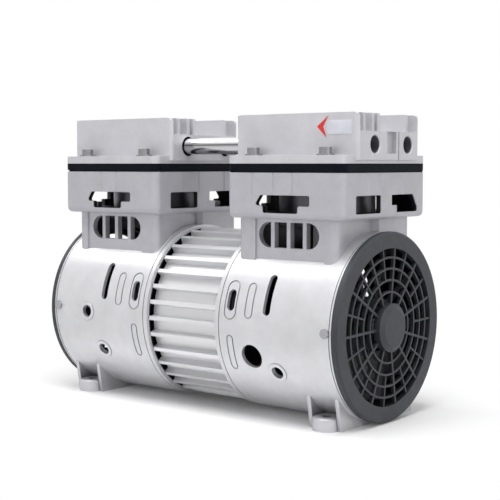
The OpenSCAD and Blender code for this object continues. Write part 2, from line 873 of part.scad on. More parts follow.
// Cylinder housing: a windowed box round the sleeve, the same casting on both sides
module cylinder_housing(side) {
    inner_r = max(corner_r - cyl_wall, fuse);
    color([0.74, 0.74, 0.77])
    translate([side * head_cx, 0, deck_z])
        difference() {
            rolled_block(cyl_l, cyl_w, cyl_h, corner_r, edge_r);
            translate([0, 0, cyl_floor_t])
                linear_extrude(window_high + cavity_over - cyl_floor_t)
                    rounded_rect(cyl_l - 2 * cyl_wall, cyl_w - 2 * cyl_wall, inner_r);
            translate([0, 0, -cut]) cylinder(r = sleeve_r, h = cyl_h + 2 * cut);
            for (turn = [0, 180]) rotate([0, 0, turn]) {
                upright_y(-cyl_w / 2 - cut, cyl_wall + 2 * cut) front_window();
                upright_x(cyl_l / 2 - cyl_wall - cut, cyl_wall + 2 * cut) end_windows();
                for (share = flute_front_shares)
                    translate([share * cyl_l, -cyl_w / 2 - flute_r / 2, window_high])
                        cylinder(r = flute_r, h = cyl_h, $fn = 16);
                for (share = flute_end_shares)
                    translate([cyl_l / 2 + flute_r / 2, share * cyl_w, window_high])
                        cylinder(r = flute_r, h = cyl_h, $fn = 16);
            }
            for (x = [-1, 1], y = [-1, 1]) {
                translate([x * head_screw_x, y * head_screw_y, cyl_h + cut - head_screw_grip])
                    cylinder(d = head_screw_d, h = head_screw_grip);
                translate([x * deck_screw_x, y * deck_screw_y, -cut])
                    cylinder(d = deck_screw_d, h = cyl_floor_t + 2 * cut);
            }
        }
}

// Screws inside the housings that fix them to the crankcase decks
module deck_screws() {
    color([0.6, 0.6, 0.63])
    for (side = [left, right], x = [-1, 1], y = [-1, 1])
        translate([side * head_cx + x * deck_screw_x, y * deck_screw_y, deck_z]) {
            translate([0, 0, cyl_floor_t - deck_screw_grip])
                cylinder(d = deck_screw_d, h = deck_screw_grip);
            translate([0, 0, cyl_floor_t]) cylinder(d = deck_screw_head_d, h = deck_screw_head_h);
        }
}

module cylinder_sleeve(side) {
    color([0.5, 0.51, 0.54])
    translate([side * head_cx, 0, deck_z]) ring(sleeve_r, bore_d / 2, cyl_h);
}

// Gasket with two opposite corners cut away and the cylinder bore open
module base_gasket(side) {
    color([0.1, 0.1, 0.12])
    translate([side * head_cx, 0, base_z])
        linear_extrude(base_gasket_t)
            difference() {
                rounded_rect(cyl_l, cyl_w, corner_r);
                circle(sleeve_r - sleeve_wall / 2);
                for (turn = [0, 180])
                    rotate(turn)
                        translate([-cyl_l / 2 - cut, -cyl_w / 2 - cut])
                            square([gasket_notch + cut, gasket_notch / 2 + cut]);
                head_screw_holes();
            }
}

module head_screw_holes() {
    for (x = [-1, 1], y = [-1, 1])
        translate([x * head_screw_x, y * head_screw_y]) circle(d = head_screw_d);
}

// Valve plate with a row of intake holes and a row of exhaust holes
module valve_plate(side) {
    color([0.13, 0.13, 0.16])
    translate([side * head_cx, 0, plate_z])
        linear_extrude(plate_t)
            difference() {
                rounded_rect(cyl_l, cyl_w, corner_r);
                for (y = [intake_y, exhaust_y], i = [0:valve_holes - 1])
                    translate([(i - (valve_holes - 1) / 2) * valve_hole_pitch, y]) circle(valve_hole_r);
                head_screw_holes();
            }
}

// Gasket between the valve plate and the head, open under both chambers
module head_gasket(side) {
    color([0.08, 0.08, 0.1])
    translate([side * head_cx, 0, head_gasket_z])
        linear_extrude(head_gasket_t)
            difference() {
                rounded_rect(cyl_l, cyl_w, corner_r);
                chambers_outline();
                head_screw_holes();
            }
}

// Plan of the intake chamber at the front and the exhaust chamber at the back of a head
module chambers_outline() {
    depth = (cover_w - 2 * chamber_wall - chamber_split) / 2;
    for (y = [-1, 1])
        translate([0, y * (chamber_split + depth) / 2]) square([chamber_l, depth], center = true);
}

// Thin spring strip that covers a row of valve holes; its root end is the hinge
module reed() {
    translate([reed_root_x, -reed_w / 2, 0]) cube([reed_l - reed_w / 2, reed_w, reed_t]);
    translate([reed_root_x + reed_l - reed_w / 2, 0, 0]) cylinder(d = reed_w, h = reed_t);
}

module intake_reed(side) {
    color([0.55, 0.6, 0.66])
    translate([side * head_cx, intake_y, plate_z - reed_gap - reed_t]) reed();
}

module exhaust_reed(side) {
    color([0.55, 0.6, 0.66])
    translate([side * head_cx, exhaust_y, plate_z + plate_t + reed_gap]) reed();
}

// Stepped strip that limits how far the exhaust reed opens, with its screw
module reed_stop(side) {
    color([0.62, 0.63, 0.66])
    translate([side * head_cx, exhaust_y, head_gasket_z]) {
        translate([reed_root_x - stop_foot, -reed_w / 2, 0])
            cube([stop_foot - free_gap, reed_w, stop_lift + stop_t]);
        translate([reed_root_x - stop_foot, -reed_w / 2, stop_lift])
            cube([reed_l + stop_foot, reed_w, stop_t]);
        translate([reed_root_x - stop_foot / 2, 0, stop_lift + stop_t])
            cylinder(d = 2 * stop_screw_d, h = stop_screw_d / 2);
    }
}

// Walls, fins and centre dome that stand on the cover's floor
module cover_top() {
    for (y = [-1, 1])
        translate([-cover_l / 2, y * (cover_w - cover_wall) / 2 - cover_wall / 2, 0])
            cube([cover_l, cover_wall, top_fin_h + fuse]);
    for (share = top_fin_shares)
        translate([-cover_l / 2 + top_fin_inset, share * cover_w - top_fin_t / 2, 0])
            cube([cover_l - 2 * top_fin_inset, top_fin_t, top_fin_h + fuse]);
    translate([-dome_l / 2, dome_share * cover_w, dome_h + fuse - dome_r]) {
        rotate([0, 90, 0]) cylinder(r = dome_r, h = dome_l);
        for (x = [0, dome_l]) translate([x, 0, 0]) sphere(r = dome_r);
    }
}

// Cover profile seen from the front, with its two top corners rounded
module cover_side_outline() {
    full_h = flange_t + cover_h;
    translate([-cover_l / 2, skirt_lift]) square([cover_l, full_h - cover_top_r - skirt_lift]);
    translate([-cover_l / 2 + cover_top_r, skirt_lift])
        square([cover_l - 2 * cover_top_r, full_h - skirt_lift]);
    for (x = [-1, 1])
        translate([x * (cover_l / 2 - cover_top_r), full_h - cover_top_r]) circle(cover_top_r);
}

// Head cover before its ports: flange, body and finned top; the origin is under the flange
module cover_body() {
    floor_h = flange_t + cover_h - top_fin_h;
    linear_extrude(flange_t) rounded_rect(cyl_l, cyl_w, corner_r);
    intersection() {
        upright_y(-cover_w / 2, cover_w) cover_side_outline();
        linear_extrude(flange_t + cover_h) rounded_rect(cover_l, cover_w, cover_corner_r);
        union() {
            translate([-cover_l / 2, -cover_w / 2, 0]) cube([cover_l, cover_w, floor_h]);
            translate([0, 0, floor_h - fuse]) cover_top();
        }
    }
}

// Recess and groove between the two port bosses at one end of the cover
module port_end_relief() {
    x = cover_l / 2;
    z = flange_t + port_above - block_h / 2;
    recess = block_recess_shares * cover_w;
    translate([x - block_recess_depth, recess[0], flange_t + block_recess_floor])
        cube([block_recess_depth + cut, recess[1] - recess[0], block_h - block_recess_floor]);
    translate([x - block_line_depth, block_line_share * cover_w, 0])
        cube([block_line_depth + cut, block_line_w, flange_t + block_h]);
}

// Head cover: air ports at its outer end, tube sockets at its inner end
module head_cover(side) {
    color([0.77, 0.77, 0.8])
    translate([side * head_cx, 0, flange_z])
        difference() {
            cover_body();
            translate([0, 0, -cut]) linear_extrude(chamber_h + cut) chambers_outline();
            for (share = [port_front_share, port_rear_share])
                translate([0, share * cover_w, port_above]) rotate([0, side * 90, 0]) {
                    translate([0, 0, cover_l / 2 - port_depth]) cylinder(d = port_d, h = port_depth + cut);
                    translate([0, 0, cover_l / 2 - port_chamfer])
                        cylinder(
                            d1 = port_d, d2 = port_d + 2 * (port_chamfer + cut), h = port_chamfer + cut
                        );
                }
            for (share = [tube_front_share, tube_rear_share])
                translate([0, share * cover_w, port_above]) rotate([0, -side * 90, 0]) {
                    translate([0, 0, cover_l / 2 - socket_depth])
                        cylinder(r = tube_d / 2 + tube_gap, h = socket_depth + cut);
                    translate([0, 0, cover_l / 2 - seal_l])
                        cylinder(r = tube_d / 2 + seal_t, h = seal_l + cut);
                }
            on_side(side) port_end_relief();
            translate([0, 0, -cut]) linear_extrude(flange_t + 2 * cut) head_screw_holes();
        }
}

// Socket-head screws along the long sides of both heads
module head_screws() {
    color([0.72, 0.72, 0.75])
    for (side = [left, right], x = [-1, 1], y = [-1, 1])
        translate([side * head_cx + x * head_screw_x, y * head_screw_y, cover_z]) {
            difference() {
                union() {
                    cylinder(d = washer_d, h = washer_t);
                    cylinder(d = head_screw_head_d, h = washer_t + head_screw_head_h);
                }
                translate([0, 0, washer_t + head_screw_head_h - head_screw_socket_depth])
                    cylinder(d = head_screw_socket, h = head_screw_socket_depth + cut, $fn = 6);
            }
            translate([0, 0, base_z - cover_z - head_screw_grip + 2 * cut])
                cylinder(d = head_screw_d, h = cover_z - base_z + head_screw_grip - 2 * cut);
        }
}

// Bare tube that carries air from one head to the other
module crossover_tube(share) {
    tube_l = 2 * (head_cx - cover_l / 2 + tube_depth);
    translate([0, share * cover_w, flange_z + port_above])
        rotate([0, 90, 0])
            translate([0, 0, -tube_l / 2]) ring(tube_d / 2, tube_d / 2 - tube_wall, tube_l);
}
module crossover_tube_front() {
    color([0.88, 0.89, 0.92]) crossover_tube(tube_front_share);
}
module crossover_tube_rear() {
    color([0.88, 0.89, 0.92]) crossover_tube(tube_rear_share);
}

// Rubber rings that seal the tubes in the heads
module tube_seals() {
    color([0.07, 0.07, 0.08])
    for (side = [left, right], share = [tube_front_share, tube_rear_share])
        translate([side * (head_cx - cover_l / 2), share * cover_w, flange_z + port_above])
            rotate([0, side * 90, 0])
                translate([0, 0, free_gap]) ring(tube_d / 2 + seal_t, tube_d / 2, seal_l - free_gap);
}

// Spokes, rings and rim of the fan guard, drawn flat
module grille_outline() {
    open_r = grille_d / 2;
    for (share = ring_shares)
        difference() {
            circle(share * open_r + ring_w / 2);
            circle(share * open_r - ring_w / 2);
        }
    for (i = [0:spoke_n - 1]) {
        rotate(i * 360 / spoke_n)
            translate([hub_d / 2 - fuse, -spoke_w / 2]) square([open_r - hub_d / 2 + 2 * fuse, spoke_w]);
        rotate((i + 0.5) * 360 / spoke_n)
            translate([half_spoke_share * open_r, -half_spoke_w / 2])
                square([open_r * (1 - half_spoke_share) + fuse, half_spoke_w]);
    }
}

// Black fan guard: rim with a bevelled edge, open grille and proud centre
module fan_guard(side) {
    skirt_r = case_bore_r - guard_skirt_gap;
    color([0.13, 0.13, 0.15])
    on_side(side) {
        along_shaft(case_out) {
            rotate_extrude()
                polygon([
                    [grille_d / 2, 0], [guard_d / 2, 0], [guard_d / 2, guard_t - guard_chamfer],
                    [guard_d / 2 - guard_chamfer, guard_t], [grille_d / 2, guard_t]
                ]);
            difference() {
                translate([0, 0, -guard_skirt_l])
                    ring(skirt_r, skirt_r - guard_skirt_t, guard_skirt_l + fuse);
                for (a = [-1, 1])
                    translate([0, 0, guard_screw_x - case_out])
                        rotate([0, 0, 180 + a * guard_screw_angle]) rotate([0, 90, 0])
                            cylinder(d = guard_screw_d, h = case_r);
            }
            translate([0, 0, guard_t - grille_t - fuse])
                linear_extrude(grille_t) rotate(spoke_turn) grille_outline();
            translate([0, 0, guard_t - grille_t - fuse])
                cylinder(d = hub_d, h = grille_t + fuse + hub_proud - hub_chamfer);
            translate([0, 0, guard_t + hub_proud - hub_chamfer])
                cylinder(d1 = hub_d, d2 = hub_d - 4 * hub_chamfer, h = hub_chamfer);
        }
    }
}

// Small screws that pin each guard's skirt inside its drum
module guard_screws() {
    grip = case_wall + guard_skirt_gap + guard_skirt_t;
    color([0.66, 0.66, 0.7])
    for (side = [left, right], a = [-guard_screw_angle, guard_screw_angle])
        on_side(side) out_of_drum(guard_screw_x, a)
            translate([0, 0, case_r - grip]) {
                cylinder(d = guard_screw_d, h = grip + fuse);
                translate([0, 0, grip]) cylinder(d = guard_screw_head_d, h = guard_screw_head_h);
            }
}

module shaft() {
    color([0.64, 0.65, 0.68])
    along_shaft(-shaft_end) {
        translate([0, 0, shaft_chamfer]) cylinder(r = shaft_r, h = 2 * (shaft_end - shaft_chamfer));
        cylinder(r1 = shaft_r - shaft_chamfer, r2 = shaft_r, h = shaft_chamfer);
        translate([0, 0, 2 * shaft_end - shaft_chamfer])
            cylinder(r1 = shaft_r, r2 = shaft_r - shaft_chamfer, h = shaft_chamfer);
    }
}

// Laminated rotor with its two end rings
module rotor_core() {
    color([0.5, 0.51, 0.53])
    along_shaft(-rotor_l / 2) {
        ring(rotor_r, shaft_r, rotor_l);
        for (z = [-end_ring_t, rotor_l - fuse])
            translate([0, 0, z]) ring(end_ring_r, shaft_r, end_ring_t + fuse);
    }
}

// Eccentric journal with a collar on one side and the counterweight on the other. The right one
// is drawn at the top of its stroke, and the left one is turned half a turn from it.
module eccentric(side) {
    up = side * throw;
    x = head_cx - rod_bearing_w / 2;
    weight_x = rod_bearing_w + weight_gap;
    color([0.45, 0.46, 0.49])
    on_side(side)
        difference() {
            union() {
                along_shaft(x, shaft_h + up) {
                    cylinder(d = journal_d, h = weight_x + fuse);
                    translate([0, 0, -ecc_collar_t]) cylinder(r = ecc_collar_r, h = ecc_collar_t);
                }
                along_shaft(x + weight_x)
                    linear_extrude(weight_t) {
                        circle(weight_hub_r);
                        difference() {
                            circle(weight_r);
                            translate([side > 0 ? -weight_r - cut : 0, -weight_r - cut])
                                square([weight_r + cut, 2 * (weight_r + cut)]);
                        }
                    }
            }
            along_shaft(x - ecc_collar_t - cut)
                cylinder(r = shaft_r, h = ecc_collar_t + weight_x + weight_t + 2 * cut);
            along_shaft(x + weight_x + weight_t / 2)
                rotate([0, side > 0 ? 90 : -90, 0])
                    translate([0, 0, shaft_r - cut]) cylinder(d = set_screw_d, h = weight_r);
        }
}

module rod_bearing_inners() {
    color([0.74, 0.75, 0.78])
    for (side = [left, right])
        on_side(side)
            along_shaft(head_cx - rod_bearing_w / 2, shaft_h + side * throw)
                bearing_inner(rod_bearing_d / 2, journal_d / 2, rod_bearing_w);
}

module rod_bearing_outer(side) {
    color([0.66, 0.67, 0.7])
    on_side(side) along_shaft(head_cx - rod_bearing_w / 2, shaft_h + side * throw)
        bearing_outer(rod_bearing_d / 2, journal_d / 2, rod_bearing_w);
}

// One-piece rocking piston and rod: the eye rides on the eccentric, the disc carries the cup
module connecting_rod(side) {
    eye_z = shaft_h + side * throw;
    eye_r = rod_bearing_d / 2 + rod_eye_wall;
    stem_top = eye_z + rod_l - piston_t;
    color([0.72, 0.72, 0.75])
    difference() {
        union() {
            along_shaft(side * head_cx - rod_bearing_w / 2, eye_z) cylinder(r = eye_r, h = rod_bearing_w);
            upright_x(side * head_cx - rod_bearing_w / 2, rod_bearing_w)
                polygon([
                    [-rod_stem_low / 2, eye_z + rod_bearing_d / 2],
                    [rod_stem_low / 2, eye_z + rod_bearing_d / 2],
                    [rod_stem_high / 2, stem_top + fuse],
                    [-rod_stem_high / 2, stem_top + fuse]
                ]);
            translate([side * head_cx, 0, stem_top - piston_cone_h])
                cylinder(r1 = rod_stem_high / 2, r2 = piston_r / 2 + rod_stem_high / 2, h = piston_cone_h);
            translate([side * head_cx, 0, stem_top]) cylinder(r = piston_r, h = piston_t);
        }
        along_shaft(side * head_cx - rod_bearing_w / 2 - cut, eye_z)
            cylinder(d = rod_bearing_d, h = rod_bearing_w + 2 * cut);
        translate([side * head_cx, 0, eye_z + rod_l - retainer_screw_l + retainer_t + cup_t])
            cylinder(d = retainer_screw_d, h = retainer_screw_l);
    }
}

// Flexible cup seal with its lip turned up against the bore
module piston_cup(side) {
    outer_r = bore_d / 2 - throw - cup_gap;
    color([0.86, 0.84, 0.78])
    translate([side * head_cx, 0, shaft_h + side * throw + rod_l]) {
        ring(outer_r, cup_hole_r, cup_t);
        ring(outer_r, outer_r - cup_lip_t, cup_t + cup_lip_h);
    }
}

module cup_retainer(side) {
    color([0.68, 0.68, 0.71])
    translate([side * head_cx, 0, shaft_h + side * throw + rod_l + cup_t])
        difference() {
            cylinder(r = retainer_r, h = retainer_t);
            translate([0, 0, -cut]) cylinder(d = retainer_screw_d, h = retainer_t + 2 * cut);
            cylinder(d1 = retainer_screw_d, d2 = retainer_screw_head_d, h = retainer_t);
        }
}

module retainer_screw(side) {
    color([0.6, 0.6, 0.63])
    translate([side * head_cx, 0, shaft_h + side * throw + rod_l + cup_t + retainer_t]) {
        translate([0, 0, -retainer_screw_l]) cylinder(d = retainer_screw_d, h = retainer_screw_l);
        translate([0, 0, -retainer_t])
            cylinder(d1 = retainer_screw_d, d2 = retainer_screw_head_d, h = retainer_t);
    }
}

// Axial fan behind the guard: hub, boss on the shaft and pitched blades
module cooling_fan(side) {
    color([0.16, 0.16, 0.18])
    on_side(side)
        along_shaft(fan_x)
            difference() {
                union() {
                    cylinder(r = fan_boss_r, h = fan_l);
                    ring(fan_hub_r + fan_hub_wall, fan_hub_r, fan_l);
                    translate([0, 0, (fan_l - fan_hub_wall) / 2])
                        cylinder(r = fan_hub_r + fuse, h = fan_hub_wall);
                    for (i = [0:blade_n - 1])
                        rotate([0, 0, i * 360 / blade_n])
                            translate([fan_hub_r + fuse, 0, fan_l / 2]) rotate([blade_pitch, 0, 0])
                                translate([0, -blade_w / 2, -blade_t / 2])
                                    cube([fan_r - fan_hub_r - fuse, blade_w, blade_t]);
                }
                translate([0, 0, -cut]) cylinder(r = shaft_r, h = fan_l + 2 * cut);
            }
}

// Spring clips that hold the fans on the shaft
module fan_clips() {
    color([0.3, 0.3, 0.33])
    for (side = [left, right]) on_side(side)
        along_shaft(fan_x + fan_l) ring(shaft_r + clip_w, shaft_r, clip_t);
}

stator_housing();
stator_core();
stator_windings();
tie_bolts();
crankcase(left);  // crankcase_left
crankcase(right);  // crankcase_right
cylinder_neck(left);  // cylinder_neck_left
cylinder_neck(right);  // cylinder_neck_right
foot_frame(left);  // foot_frame_left
foot_frame(right);  // foot_frame_right
bearing_shield(left);  // bearing_shield_left
bearing_shield(right);  // bearing_shield_right
main_bearing_outers();
cylinder_housing(left);  // cylinder_housing_left
cylinder_housing(right);  // cylinder_housing_right
deck_screws();
cylinder_sleeve(left);  // cylinder_sleeve_left
cylinder_sleeve(right);  // cylinder_sleeve_right
base_gasket(left);  // base_gasket_left
base_gasket(right);  // base_gasket_right
valve_plate(left);  // valve_plate_left
valve_plate(right);  // valve_plate_right
head_gasket(left);  // head_gasket_left
head_gasket(right);  // head_gasket_right
reed_stop(left);  // reed_stop_left
reed_stop(right);  // reed_stop_right
head_cover(left);  // head_cover_left
head_cover(right);  // head_cover_right
head_screws();
crossover_tube_front();
crossover_tube_rear();
tube_seals();
fan_guard(left);  // fan_guard_left
fan_guard(right);  // fan_guard_right
guard_screws();
shaft();
rotor_core();
main_bearing_inners();
eccentric(left);  // eccentric_left
eccentric(right);  // eccentric_right
rod_bearing_inners();
cooling_fan(left);  // cooling_fan_left
cooling_fan(right);  // cooling_fan_right
fan_clips();
connecting_rod(left);  // connecting_rod_left
connecting_rod(right);  // connecting_rod_right
rod_bearing_outer(left);  // rod_bearing_outer_left
rod_bearing_outer(right);  // rod_bearing_outer_right
piston_cup(left);  // piston_cup_left
piston_cup(right);  // piston_cup_right
cup_retainer(left);  // cup_retainer_left
cup_retainer(right);  // cup_retainer_right
retainer_screw(left);  // retainer_screw_left
retainer_screw(right);  // retainer_screw_right
intake_reed(left);  // intake_reed_left
intake_reed(right);  // intake_reed_right
exhaust_reed(left);  // exhaust_reed_left
exhaust_reed(right);  // exhaust_reed_right
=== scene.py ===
"""Looks of the twin-cylinder oil-free air compressor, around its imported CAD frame."""

import json
import math

import bmesh
import bpy
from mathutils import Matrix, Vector


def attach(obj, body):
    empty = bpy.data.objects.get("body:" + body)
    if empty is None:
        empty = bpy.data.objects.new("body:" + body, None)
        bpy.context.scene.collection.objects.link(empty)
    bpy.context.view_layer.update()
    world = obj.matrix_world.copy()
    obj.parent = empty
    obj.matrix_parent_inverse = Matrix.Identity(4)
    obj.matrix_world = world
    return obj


MM = 0.001

# Places of the CAD that the materials follow
SHAFT_Z = 66.2 * MM
DRUM_INSIDE = 62.6 * MM
NECK_X = 80.3 * MM
NECK_HALF_X = 35.7 * MM
NECK_HALF_Y = 41.2 * MM
HOUSING_X = 82.15 * MM
HOUSING_HALF_X = 48.3 * MM
HOUSING_HALF_Y = 52.8 * MM
HOUSING_CORNER = 5.6 * MM
HOUSING_FLOOR_Z = 144.5 * MM
PORTS_Y = (-17.62 * MM, 24.51 * MM)
PORT_Z = 191.3 * MM
PORT_R = 6.0 * MM
PORT_MOUTH_X = 132.5 * MM
TUBE_Z = 191.3 * MM
TUBE_R = 6.0 * MM

# Painted shade: colours painted inside the castings and their ports, and in their grooves and
# corners
PAINTED_DEEP_SHADE = (0.012, 0.012, 0.015)
PAINTED_SOFT_SHADE = (0.03, 0.03, 0.035)
PAINTED_PORT_SHADE = (0.16, 0.16, 0.17)
PAINTED_GROOVE_SHADE = (0.1, 0.1, 0.11)
GROOVE_REACH = 1.2 * MM
FOOT_REACH = 16 * MM

# Painted reflections along a plated tube: share of its height, and brightness
TUBE_REFLECTION_FOOT, TUBE_REFLECTION_TOP = 0.35, 0.9
TUBE_PAINTED_REFLECTIONS = ((0.3, 0.62), (0.46, 0.5), (0.56, 0.1), (0.66, 0.62), (0.76, 0.95))

# Stickers on the front wall of the right cover, with points in X and Z
COVER_WALL_Y = -39.15 * MM
STICKER_T = 0.15 * MM
LABEL_X = (108.7 * MM, 128.4 * MM)
LABEL_Z = (197.8 * MM, 207.2 * MM)
LABEL_CORNER = 0.8 * MM
ARROW_TIP = (100.6 * MM, 203.0 * MM)
ARROW_TOP = (110.0 * MM, 210.4 * MM)
ARROW_NOTCH = (105.6 * MM, 203.0 * MM)
ARROW_FOOT = (108.4 * MM, 195.6 * MM)

# The floor shows its shadow near the object, and turns plain white away from it
FLOOR_HALF = 6.0
FLOOR_WHITE = (0.93, 0.93, 0.93, 1)
SHADOW_OVAL = (0.62, 1, 1)
SHADOW_NEAR, SHADOW_FAR = 0.085, 0.19
GLOW_NEAR, GLOW_FAR = 0.04, 1.0

AMBIENT_COLOR = (0.97, 0.98, 1.0, 1)
AMBIENT_STRENGTH = 0.24
LAMP_AIM = (0.0, 0.0, 0.1)

# Camera fitted to the outlines in the photograph
CAMERA_PLACE = (0.55135, -0.68035, 0.17826)
CAMERA_DROP = 0.074
CAMERA_TURN = 0.670
CAMERA_LENS = 83.78
CAMERA_SENSOR = 36.0
CAMERA_FAR = 50.0

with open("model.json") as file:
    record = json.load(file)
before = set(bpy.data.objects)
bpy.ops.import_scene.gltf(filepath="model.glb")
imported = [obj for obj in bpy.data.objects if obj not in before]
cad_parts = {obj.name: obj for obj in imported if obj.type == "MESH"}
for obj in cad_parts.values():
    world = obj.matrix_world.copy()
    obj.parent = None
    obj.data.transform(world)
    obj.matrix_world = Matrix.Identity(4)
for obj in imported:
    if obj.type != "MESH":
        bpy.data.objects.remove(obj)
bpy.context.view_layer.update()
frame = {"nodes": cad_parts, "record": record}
scene = bpy.context.scene


class Surface:
    """A node material that is built up from a Principled shader."""

    def __init__(self, name, color, metallic, roughness):
        self.material = bpy.data.materials.new(name)
        self.material.use_nodes = True
        self.tree = self.material.node_tree
        self.shader = self.tree.nodes["Principled BSDF"]
        self.shader.inputs["Base Color"].default_value = (*color, 1.0)
        self.shader.inputs["Metallic"].default_value = metallic
        self.shader.inputs["Roughness"].default_value = roughness
        self.color = color
        self.coords = self.node("ShaderNodeTexCoord").outputs["Object"]
        self.normal = None

    def node(self, kind, **settings):
        node = self.tree.nodes.new(kind)
        for key, value in settings.items():
            setattr(node, key, value)
        return node

    def link(self, source, target):
        self.tree.links.new(source, target)

    def axes(self):
        """X, Y and Z of the object's coordinates."""
        split = self.node("ShaderNodeSeparateXYZ")
        self.link(self.coords, split.inputs[0])
        return split.outputs["X"], split.outputs["Y"], split.outputs["Z"]

    def noise(self, size, detail=3.0, stretch=(1, 1, 1)):
        """Noise whose features are about size metres across."""
        mapping = self.node("ShaderNodeMapping")
        mapping.inputs["Scale"].default_value = stretch
        self.link(self.coords, mapping.inputs["Vector"])
        noise = self.node("ShaderNodeTexNoise")
        noise.inputs["Scale"].default_value = 1 / size
        noise.inputs["Detail"].default_value = detail
        noise.inputs["Roughness"].default_value = 0.6
        self.link(mapping.outputs["Vector"], noise.inputs["Vector"])
        return noise.outputs["Fac"]

    def ramp(self, factor, low, high, start=0.3, end=0.7):
        """Maps a factor onto two colours."""
        ramp = self.node("ShaderNodeValToRGB")
        first, last = ramp.color_ramp.elements
        first.position, last.position = start, end
        first.color, last.color = (*low, 1.0), (*high, 1.0)
        self.link(factor, ramp.inputs["Fac"])
        return ramp.outputs["Color"]

    def vary_color(self, factor, spread):
        low = [c * (1 - spread) for c in self.color]
        high = [min(1.0, c * (1 + spread)) for c in self.color]
        self.link(self.ramp(factor, low, high), self.shader.inputs["Base Color"])

    def vary_roughness(self, factor, low, high):
        gray = self.ramp(factor, (low,) * 3, (high,) * 3)
        self.link(gray, self.shader.inputs["Roughness"])

    def soften(self, radius):
        """Rounds the edges that light catches."""
        bevel = self.node("ShaderNodeBevel", samples=4)
        bevel.inputs["Radius"].default_value = radius
        self.normal = bevel.outputs["Normal"]
        self.link(self.normal, self.shader.inputs["Normal"])

    def bump(self, height, depth):
        bump = self.node("ShaderNodeBump")
        bump.inputs["Strength"].default_value = 1.0
        bump.inputs["Distance"].default_value = depth
        self.link(height, bump.inputs["Height"])
        if self.normal is not None:
            self.link(self.normal, bump.inputs["Normal"])
        self.normal = bump.outputs["Normal"]
        self.link(self.normal, self.shader.inputs["Normal"])

    def calc(self, operation, first, second=0.0):
        """Math node on two sockets or numbers."""
        node = self.node("ShaderNodeMath", operation=operation)
        for slot, value in enumerate((first, second)):
            if isinstance(value, (int, float)):
                node.inputs[slot].default_value = value
            else:
                self.link(value, node.inputs[slot])
        return node.outputs[0]

    def within_circle(self, across, up, radius):
        """One where two offsets from a centre lie within a radius, else zero."""
        across_squared = self.calc("MULTIPLY", across, across)
        up_squared = self.calc("MULTIPLY", up, up)
        squared = self.calc("ADD", across_squared, up_squared)
        return self.calc("LESS_THAN", squared, radius * radius)

    def inside_box(self, middle_x, half_x, half_y, low):
        """One above a height within an upright box at each side of the machine, else zero."""
        x, y, z = self.axes()
        from_middle = self.calc("SUBTRACT", self.calc("ABSOLUTE", x), middle_x)
        near_x = self.calc("LESS_THAN", self.calc("ABSOLUTE", from_middle), half_x)
        near_y = self.calc("LESS_THAN", self.calc("ABSOLUTE", y), half_y)
        above = self.calc("GREATER_THAN", z, low)
        return self.calc("MULTIPLY", self.calc("MULTIPLY", near_x, near_y), above)

    def inside_port(self, port_y):
        """One within the two air ports at a distance from the middle, else zero."""
        x, y, z = self.axes()
        across = self.calc("SUBTRACT", y, port_y)
        up = self.calc("SUBTRACT", z, PORT_Z)
        behind_mouth = self.calc("LESS_THAN", self.calc("ABSOLUTE", x), PORT_MOUTH_X)
        return self.calc("MULTIPLY", self.within_circle(across, up, PORT_R), behind_mouth)

    def inside_drum(self):
        """One within the drums' inner radius round the shaft, else zero."""
        _, y, z = self.axes()
        up = self.calc("SUBTRACT", z, SHAFT_Z)
        return self.within_circle(y, up, DRUM_INSIDE)

    def paint_shade(self, mask, color):
        """Paints shade by changing the colour towards another one, by as much as the mask says.
        """
        base = self.shader.inputs["Base Color"]
        mix = self.node("ShaderNodeMixRGB")
        self.link(mask, mix.inputs["Fac"])
        self.link(base.links[0].from_socket, mix.inputs["Color1"])
        mix.inputs["Color2"].default_value = (*color, 1.0)
        self.link(mix.outputs["Color"], base)

    def shade_grooves(self, reach):
        """Paints shade into the piece's own grooves and corners, found by ambient occlusion
        over a reach.
        """
        occlusion = self.node("ShaderNodeAmbientOcclusion", samples=8, only_local=True)
        occlusion.inputs["Distance"].default_value = reach
        self.paint_shade(self.calc("SUBTRACT", 1.0, occlusion.outputs["AO"]), PAINTED_GROOVE_SHADE)


def cast_alloy(name, color, roughness, grain, depth, metallic, inside=None):
    """Cast aluminium: fine sandy grain, faint blotches, softened edges, and where asked painted
    shade inside it and in its grooves and corners.
    """
    s = Surface(name, color, metallic, roughness)
    s.soften(radius=0.35 * MM)
    s.bump(s.noise(grain, detail=4), depth)
    s.vary_color(s.noise(size=14 * MM), spread=0.05)
    s.vary_roughness(s.noise(size=3 * MM), roughness - 0.06, roughness + 0.06)
    # Painted shade in the corners and pockets of the feet
    if inside == "foot":
        s.shade_grooves(FOOT_REACH)
    # Painted shade in the drums' grooves, and a nearly black colour painted inside the drums
    if inside == "drum":
        s.shade_grooves(GROOVE_REACH)
        s.paint_shade(s.inside_drum(), PAINTED_DEEP_SHADE)
    # Painted shade: a darker colour inside the neck, above the shaft
    if inside in ("drum", "neck"):
        s.paint_shade(s.inside_box(NECK_X, NECK_HALF_X, NECK_HALF_Y, SHAFT_Z), PAINTED_SOFT_SHADE)
    # Painted shade: a nearly black colour inside the housing
    if inside == "housing":
        # Two crossed boxes leave out the rounded corners
        short_x = HOUSING_HALF_X - HOUSING_CORNER
        short_y = HOUSING_HALF_Y - HOUSING_CORNER
        for half_x, half_y in ((HOUSING_HALF_X, short_y), (short_x, HOUSING_HALF_Y)):
            s.paint_shade(s.inside_box(HOUSING_X, half_x, half_y, HOUSING_FLOOR_Z), PAINTED_DEEP_SHADE)
    # Painted shade: a darker colour inside the air ports
    if inside == "cover":
        for port_y in PORTS_Y:
            s.paint_shade(s.inside_port(port_y), PAINTED_PORT_SHADE)
    return s.material


